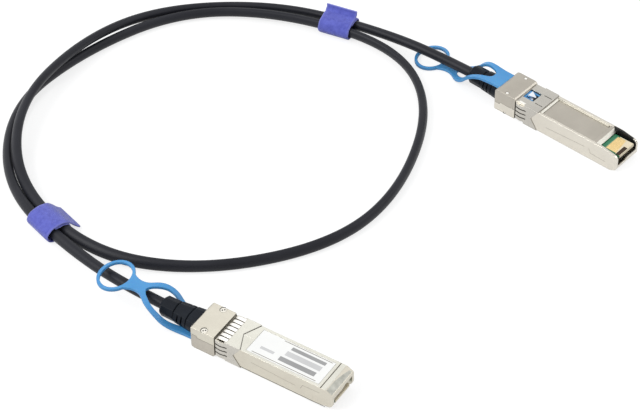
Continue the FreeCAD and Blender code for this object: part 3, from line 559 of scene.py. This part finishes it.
def strap(name, centre, turn, section, hooks):
    """A strap along a section line in (across, up), swept along the strands, with round edges.

    Its hook face is the one on the side that hooks says: 1 or -1 times the line's normal.
    """
    line = smooth_line([Vector((0.0, y, z)) for y, z in section], 8)
    place = (Matrix.Translation((centre[0] * MM, centre[1] * MM, 0))
             @ Matrix.Rotation(math.radians(turn), 4, "Z"))
    mesh = bpy.data.meshes.new(name)
    form = bmesh.new()
    uv = form.loops.layers.uv.new("UVMap")
    grid = [strap_row(form, place, line, index) for index in range(len(line))]
    many = len(STRAP_COLUMNS)
    order = list(range(many)) + list(range(2 * many - 1, many - 1, -1))
    for index, (first, second) in enumerate(zip(grid, grid[1:])):
        for a, b in zip(order, order[1:] + order[:1]):
            face = form.faces.new((first[a], first[b], second[b], second[a]))
            face.smooth = True
            face.material_index = int((a >= many and b >= many) == (hooks < 0))
            marks = ((a, index), (b, index), (b, index + 1), (a, index + 1))
            for loop, (column, where) in zip(face.loops, marks):
                loop[uv].uv = (STRAP_COLUMNS[column % many] + 0.5, where / len(grid))
    for row in (grid[0], grid[-1]):
        form.faces.new([row[number] for number in order])
    bmesh.ops.recalc_face_normals(form, faces=form.faces)
    form.to_mesh(mesh)
    form.free()
    piece = link(name, mesh, tie_finish)
    mesh.materials.append(hook_finish)
    return piece, line_length(line)


# from the loose tail, round both strands, to the end that the tail covers
tie_a_section = [(-8.7, 0.9), (-6.9, 2.6), (-5.2, 4.7), (-3.2, 6.3), (-0.4, 6.75), (2.4, 6.4),
                 (4.6, 5.0), (5.2, 3.0), (4.2, 1.1), (2.2, 0.45), (0.0, 0.45), (-2.2, 0.45),
                 (-4.0, 1.2), (-4.7, 3.1), (-4.0, 4.9), (-2.4, 5.6), (0.0, 5.75), (1.4, 5.65)]
tie_b_section = [(3.2, 9.4), (2.9, 8.2), (1.9, 7.1), (0.0, 6.75), (-2.9, 6.35), (-5.0, 5.0),
                 (-5.6, 3.0), (-4.5, 1.1), (-2.4, 0.45), (0.0, 0.45), (2.4, 0.45),
                 (4.3, 1.2), (5.1, 3.1), (4.4, 4.9), (2.7, 5.55), (0.0, 5.75), (-1.4, 5.65)]
for name, centre, turn, section, hooks in (
        ("tie_a", (-118.4, -7.9), 129.3, tie_a_section, -1),
        ("tie_b", (-13.0, 107.6), -25.0, tie_b_section, 1)):
    piece, length = strap(name, centre, turn, section, hooks)
    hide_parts(f"cable_{name}")
    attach(piece, BASE)

# ---------------------------------------------------------------- drawing on the plugs

# All that follows is drawn in a plug's own millimetres: x from the hood's cable end to the nose,
# y across, z from the label face to the latch face. An inlay's plates lie on the plug's faces.


def plug_place(plug):
    """The matrix from a plug's own axes, in millimetres, to the scene."""
    at = PLUGS[plug]
    return (Matrix.Scale(MM, 4) @ Matrix.Translation((at["x"], at["y"], at["height"]))
            @ Matrix.Rotation(math.radians(at["turn"]), 4, "Z")
            @ Matrix.Rotation(math.radians(at["roll"]), 4, "X"))


def stroke(points, wide, out):
    """A flat line of even width through the points, as one outline that faces out."""
    points = [Vector(point) for point in points]
    runs = [(after - before).normalized() for before, after in zip(points, points[1:])]
    left = []
    right = []
    for point, before, after in zip(points, runs[:1] + runs, runs + runs[-1:]):
        side = out.cross(before + after).normalized()
        reach = wide / 2 / max(0.5, side.dot(out.cross(after)))
        left.append(point + side * reach)
        right.append(point - side * reach)
    return out, left + right[::-1]


def arc(x, y, z, radius, start, end, steps=12):
    """Points along an arc in a plane of even height, by its angles in degrees."""
    points = []
    for number in range(steps + 1):
        angle = math.radians(start + (end - start) * number / steps)
        points.append((x + radius * math.cos(angle), y + radius * math.sin(angle), z))
    return points


def circle(x, y, z, radius, corners):
    return arc(x, y, z, radius, 0, 360, corners)[:-1]


def ribbon(profile, low, high):
    """Plates along a line of (x, z) points, each as wide as low to high across the plug."""
    plates = []
    for (x0, z0), (x1, z1) in zip(profile, profile[1:]):
        out = Vector((z0 - z1, 0, x1 - x0)).normalized()
        plates.append((out, [(x0, low, z0), (x1, low, z1), (x1, high, z1), (x0, high, z0)]))
    return plates


def side_ribbon(profile, side, low, high):
    """Plates along a line of (x, y) points on one side of the plug, from low to high up it."""
    plates = []
    for (x0, y0), (x1, y1) in zip(profile, profile[1:]):
        out = Vector((y0 - y1, side * (x1 - x0), 0)).normalized()
        plates.append((out, [(x0, side * y0, low), (x1, side * y1, low),
                             (x1, side * y1, high), (x0, side * y0, high)]))
    return plates


def block(x0, x1, y0, y1, z, out):
    """A rectangular plate at an even height."""
    return out, [(x0, y0, z), (x1, y0, z), (x1, y1, z), (x0, y1, z)]


def put_on(name, plug, material, form):
    """Make the drawn form a piece that rides with the plugs."""
    mesh = bpy.data.meshes.new(name)
    bmesh.ops.recalc_face_normals(form, faces=form.faces)
    form.to_mesh(mesh)
    form.free()
    piece = link(f"{name}_{plug}", mesh, material)
    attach(piece, BASE)


def inlay(name, plug, material, shapes, thick=0.03):
    """Thin plates on a plug's faces: each shape is the way out and the corners it lies on."""
    place = plug_place(plug)
    form = bmesh.new()
    for out, corners in shapes:
        lift = Vector(out).normalized() * thick / 2
        low = [form.verts.new(place @ (Vector(corner) - lift)) for corner in corners]
        high = [form.verts.new(place @ (Vector(corner) + lift)) for corner in corners]
        form.faces.new(high)
        form.faces.new(low[::-1])
        wall(form, low, high)
    put_on(name, plug, material, form)


def domes(name, plug, material, centres, radius, low, high):
    """Low round heads, domed from one height to another."""
    place = plug_place(plug)
    form = bmesh.new()
    around = 20
    levels = 5
    for x, y in centres:
        rings = []
        for level in range(levels):
            lean = math.radians(90 * level / levels)
            height = low + (high - low) * math.sin(lean)
            rings.append([form.verts.new(place @ Vector(point)) for point in
                          circle(x, y, height, radius * math.cos(lean), around)])
        for first, second in zip(rings, rings[1:]):
            for face in wall(form, first, second):
                face.smooth = True
        form.faces.new(rings[-1])
        form.faces.new(rings[0][::-1])
    put_on(name, plug, material, form)


# ---------------------------------------------------------------- small details on the plugs

BODY_SIDE = 6.7
HOOD_SIDE = 6.95
CHEVRON_DEEP = 3.1
FINGER_PITCH = 1.85
PAD_PITCH = 0.8
SCREW_ACROSS = 5.8
# heights of faces that carry inlays
LABEL_FACE = 0.19
BAND_FACE = -0.01
FILM_FACE = 0.22
COLLAR_TOP = 8.91
# the thickness of the finest plates; an inlay's own default is the common one
THIN = 0.02


def body_seams(plug):
    """Painted shade in the gaps between hood, collar and body and in the nose's groove, and the
    marks on the body's side walls.
    """
    nose_groove = stroke([(52.6, -6.6, 0.31), (52.6, 6.6, 0.31)], 0.3, DOWN)
    chevron_gap = stroke([(20.62, -6.6, 0.18), (17.55, 0, 0.18), (20.62, 6.6, 0.18)], 0.16, DOWN)
    hood_gap = stroke([(10.03, -6.6, LABEL_FACE), (10.03, 6.6, LABEL_FACE)], 0.22, DOWN)
    # the dark strokes are painted shade in the gaps and the groove
    dark = [nose_groove, chevron_gap, hood_gap]
    grey = []
    for side in (-1, 1):
        out = Vector((0, side, 0))
        hood = side * HOOD_SIDE
        body = side * BODY_SIDE
        dark.append(stroke([(10.1, side * 6.72, 0.5), (10.1, side * 6.72, 8.4)], 0.3, out))
        grey.append(stroke([(0.7, hood, 3.35), (2.6, hood, 3.35), (2.9, hood, 4.15),
                            (9.7, hood, 4.15)], 0.13, out))
        grey.append(stroke([(24.8, body, 3.8), (42.7, body, 4.8)], 0.12, out))
        grey.append(stroke([(44.7, body, 5.0), (45.6, body, 3.1), (52.4, body, 2.9)], 0.12, out))
    inlay("seams_painted_shade", plug, painted_gap_shade, dark)
    inlay("seams_grey", plug, seam_grey, grey)
    if plug == "a":
        # painted shade: a dark strip along the lying plug's lower rim, which is in its own shade
        rim = stroke([(15.5, 6.71, 8.45), (54.5, 6.71, 8.45)], 0.2, Vector((0, 1, 0)))
        inlay("shaded_rim", plug, painted_gap_shade, [rim])


def finger_slots(plug):
    """Dark strips of painted shade in the slots between the collar's sprung fingers, on its sides,
    latch face and label face.
    """
    bulge = [(10.4, 6.98), (11.3, 7.14), (12.3, 7.28), (13.4, 7.16), (14.3, 6.94), (15.1, 6.92)]
    slots = []
    for side in (-1, 1):
        for low in (2.33, 4.28, 6.23):
            slots += side_ribbon(bulge, side, low - 0.05, low + 0.4)
        slots.append(stroke([(16.5, side * 2.95, COLLAR_TOP), (19.7, side * 2.95, COLLAR_TOP)],
                            0.22, UP))
    for number in range(6):
        y = -4.625 + FINGER_PITCH * number
        slots.append(stroke([(11.0, y, -0.015), (14.75, y, -0.015)], 0.34, DOWN))
    inlay("finger_slots", plug, painted_gap_shade, slots, THIN)


def finger_faces(plug):
    """Lighter metal on the collar's fingers on the label face: a painted highlight on them."""
    half = 0.68
    profile = [(10.55, 0.49), (11.4, 0.11), (12.3, -0.01), (14.7, -0.01)]
    fingers = []
    for number in range(7):
        y = -5.55 + FINGER_PITCH * number
        for out, corners in ribbon(profile, y - half, y + half):
            fingers.append((-out, corners))
    inlay("finger_faces", plug, polish_and_highlight, fingers, THIN)


def panel_edges(plug):
    """Painted highlights: lighter metal on the slopes round the sunk panel and ahead of the bar, and
    on the collar's cheek.
    """
    edges = ribbon([(21.05, 8.65), (21.6, 7.95)], -5.4, 5.5)
    edges += ribbon([(47.35, 8.68), (48.45, 7.3)], -5.6, 5.6)
    for side in (-1, 1):
        low = side * 5.4
        high = side * 5.72
        edges.append((Vector((0, -side, 0.35)), [(21.5, low, 7.83), (44.7, low, 7.83),
                                                 (45.2, high, 8.72), (21.1, high, 8.72)]))
    inlay("panel_edges", plug, painted_highlight_metal, edges)
    # painted highlight on the collar's near cheek, on one side only
    cheek = block(11.3, 13.9, -6.3, -5.4, COLLAR_TOP, UP)
    inlay("collar_cheek", plug, polish_and_highlight, [cheek], THIN)


def lighter_faces(plug):
    """Lighter metal on the label face round the label and on the collar's band, and the screws' ends
    on the latch face.
    """
    faces = [block(52.82, 54.62, -6.66, 6.66, LABEL_FACE, DOWN),
             block(51.3, 52.38, -5.6, 5.6, LABEL_FACE, DOWN)]
    for side in (-1, 1):
        edge = side * 6.66
        bed = side * 5.6
        faces.append((DOWN, [(20.7, edge, LABEL_FACE), (52.38, edge, LABEL_FACE),
                             (52.38, bed, LABEL_FACE), (20.2, bed, LABEL_FACE)]))
        faces.append((DOWN, [(20.2, bed, LABEL_FACE), (22.1, bed, LABEL_FACE),
                             (22.1, 0, LABEL_FACE), (20.75 - CHEVRON_DEEP, 0, LABEL_FACE)]))
    inlay("lighter_faces", plug, lighter_face_metal, faces, THIN)
    band = [(14.9, -6.8, BAND_FACE), (20.4, -6.8, BAND_FACE), (20.45 - CHEVRON_DEEP, 0, BAND_FACE),
            (20.4, 6.8, BAND_FACE), (14.9, 6.8, BAND_FACE)]
    inlay("lighter_band", plug, lighter_face_metal, [(DOWN, band)], THIN)
    domes("screw_ends", plug, polish_and_highlight,
          [(5.2, SCREW_ACROSS), (5.2, -SCREW_ACROSS)], radius=0.62, low=9.46, high=9.6)


def screw_marks(plug):
    """Painted shade on the label face: a dark arc on one side of each screw's seat and dark dots for
    the two holes of its drive.
    """
    marks = []
    for y in (-SCREW_ACROSS, SCREW_ACROSS):
        marks.append(stroke(arc(5.25, y, 0.0, 1.22, 120, 285), 0.2, DOWN))
        for turn in (-45, 135):
            angle = math.radians(turn)
            hole = circle(5.3 + 0.42 * math.cos(angle), y + 0.42 * math.sin(angle), 0.06, 0.28, 10)
            marks.append((DOWN, hole))
    inlay("screw_marks", plug, painted_recess_shade, marks)


def card_details(plug):
    """The card's gold fingers, bare end and pale line, and a brown patch of painted shade at its
    front.
    """
    gold_bars = []
    for number in range(10):
        y = -3.6 + PAD_PITCH * number
        end = 54.0 + 0.13 * (4.0 - y)
        gold_bars.append(block(50.4, end, y - 0.39, y + 0.39, 6.995, UP))
    inlay("gold_fingers", plug, gold, gold_bars, THIN)
    bare = [(UP, [(53.9, 4.5, 7.0), (57.05, 4.5, 7.0), (57.05, -4.5, 7.0), (55.1, -4.5, 7.0)]),
            block(51.0, 53.9, 4.02, 4.5, 6.965, UP),
            block(53.5, 57.05, -4.5, 4.5, 5.89, DOWN),
            (AHEAD, [(57.1, -4.5, 5.92), (57.1, 4.5, 5.92), (57.1, 4.5, 6.98), (57.1, -4.5, 6.98)])]
    inlay("bare_board", plug, bare_board, bare)
    # painted shade: a brown patch where the front of the card shows dark
    shade_patch = block(55.25, 56.85, -4.5, 0.9, 7.025, UP)
    inlay("board_shade_patch", plug, board_brown, [shade_patch])
    pale_line = stroke([(50.15, 4.2, 6.96), (50.15, -4.0, 6.96)], 0.16, UP)
    inlay("board_line", plug, pale_resist, [pale_line])


def nose_details(plug):
    """Painted shade on the rim and far wall of the mouth, and darker, mottled metal on the slope
    under it.
    """
    rim = [(46.8, 8.7), (50.5, 8.7), (55.67, 7.81), (56.4, 7.55), (56.99, 7.05), (57.37, 6.39)]
    floor_line = [(57.37, 3.8), (48.7, 3.8), (48.7, 7.2)]
    far_wall = (Vector((0, -1, 0)), [(x, 5.68, z) for x, z in rim + floor_line])
    inlay("mouth_rim", plug, painted_recess_shade, ribbon(rim, 5.66, 6.5) + [far_wall])
    slope = [(x, y, 0.2 + 0.48 * (x - 54.7)) for x, y in
             ((54.95, 6.5), (57.1, 6.5), (57.1, -6.2), (56.2, -5.8), (55.6, -3.0), (55.2, -0.4),
              (54.95, 1.6))]
    inlay("mottled_slope", plug, mottled_metal, [(Vector((0.43, 0, -0.9)), slope)])


def label_fields(plug):
    """Thin rules and plain bars in place of the label's print."""
    rules = [stroke([(31.0, -5.0, FILM_FACE), (50.2, -5.0, FILM_FACE)], 0.26, DOWN),
             stroke([(24.0, 4.9, FILM_FACE), (49.6, 4.9, FILM_FACE)], 0.26, DOWN)]
    inlay("label_rules", plug, seam_grey, rules)
    dark_bars = [block(35.0, 48.6, -4.0, -2.5, FILM_FACE, DOWN),
                 block(33.6, 48.0, 1.6, 3.6, FILM_FACE, DOWN)]
    inlay("label_fields", plug, field_grey, dark_bars, THIN)
    pale_bars = [block(34.4, 48.4, -1.6, 0.6, FILM_FACE, DOWN),
                 block(25.6, 31.0, 1.2, 2.4, FILM_FACE, DOWN)]
    inlay("label_pale_fields", plug, field_pale, pale_bars, THIN)


for plug in PLUGS:
    body_seams(plug)
    finger_slots(plug)
    finger_faces(plug)
    panel_edges(plug)
    lighter_faces(plug)
    screw_marks(plug)
    card_details(plug)
    nose_details(plug)
    label_fields(plug)

# ---------------------------------------------------------------- floor and light

FLOOR_REACH = 3.0
FLOOR_LEVEL = -0.00002
FLOOR_TONE = 0.36
# what the floor adds of its own for the camera and for mirrors, so that it looks white
FLOOR_GLOW = 0.73
# the world's strength as a light, and as the camera and metal see it
WORLD_LIGHT = 0.72
WORLD_SEEN = 1.0


def seen_plainly(tree):
    """1 for rays from the camera and for what metal mirrors or glass lets through, else 0."""
    path = tree.nodes.new("ShaderNodeLightPath")
    total = path.outputs["Is Camera Ray"]
    for kind in ("Is Glossy Ray", "Is Transmission Ray"):
        either = tree.nodes.new("ShaderNodeMath")
        either.operation = "MAXIMUM"
        tree.links.new(total, either.inputs[0])
        tree.links.new(path.outputs[kind], either.inputs[1])
        total = either.outputs[0]
    return total


def floor():
    """The white ground, which keeps the object's shadow."""
    corners = [(-1, -1), (1, -1), (1, 1), (-1, 1)]
    mesh = bpy.data.meshes.new("floor")
    mesh.from_pydata([(x * FLOOR_REACH, y * FLOOR_REACH, FLOOR_LEVEL) for x, y in corners],
                     [], [(0, 1, 2, 3)])
    shader = Shader("floor")
    shader.set(Base_Color=(FLOOR_TONE, FLOOR_TONE, FLOOR_TONE, 1), Roughness=0.9,
               Specular_IOR_Level=0.1, Emission_Color=(1, 1, 1, 1))
    glow = shader.node("ShaderNodeMath", operation="MULTIPLY")
    shader.join(seen_plainly(shader.tree), glow.inputs[0])
    glow.inputs[1].default_value = FLOOR_GLOW
    shader.feed(glow.outputs[0], "Emission Strength")
    link("floor", mesh, shader.material)


def area_light(name, place, aim, wide, tall, power):
    """A rectangular lamp in metres and watts, turned to its aim."""
    data = bpy.data.lights.new(name, "AREA")
    data.shape = "RECTANGLE"
    data.size = wide
    data.size_y = tall
    data.energy = power
    lamp = bpy.data.objects.new(name, data)
    bpy.context.scene.collection.objects.link(lamp)
    lamp.location = place
    lamp.rotation_euler = (Vector(aim) - Vector(place)).to_track_quat("-Z", "Y").to_euler()


def background(sky, colour, strength):
    made = sky.nodes.new("ShaderNodeBackground")
    made.inputs["Color"].default_value = colour
    made.inputs["Strength"].default_value = strength
    return made.outputs[0]


def add_world():
    """An even sky: one strength to light the object, plain white where it is seen."""
    world = bpy.data.worlds.new("world")
    bpy.context.scene.world = world
    world.use_nodes = True
    sky = world.node_tree
    sky.nodes.clear()
    output = sky.nodes.new("ShaderNodeOutputWorld")
    choice = sky.nodes.new("ShaderNodeMixShader")
    sky.links.new(seen_plainly(sky), choice.inputs[0])
    sky.links.new(background(sky, (0.98, 0.99, 1.0, 1), WORLD_LIGHT), choice.inputs[1])
    sky.links.new(background(sky, (1, 1, 1, 1), WORLD_SEEN), choice.inputs[2])
    sky.links.new(choice.outputs[0], output.inputs["Surface"])


floor()
area_light("key", place=(-0.9, -0.3, 0.8), aim=(0, 0, 0), wide=0.7, tall=0.7, power=7.5)
area_light("front_plug_panel", place=(-0.05, 0.36, 0.42), aim=(-0.04, -0.08, 0.01),
           wide=0.22, tall=0.18, power=0.07)
area_light("right_edge_light", place=(0.8, 0.06, 0.55), aim=(0.05, 0.03, 0),
           wide=0.4, tall=0.4, power=1.0)
add_world()
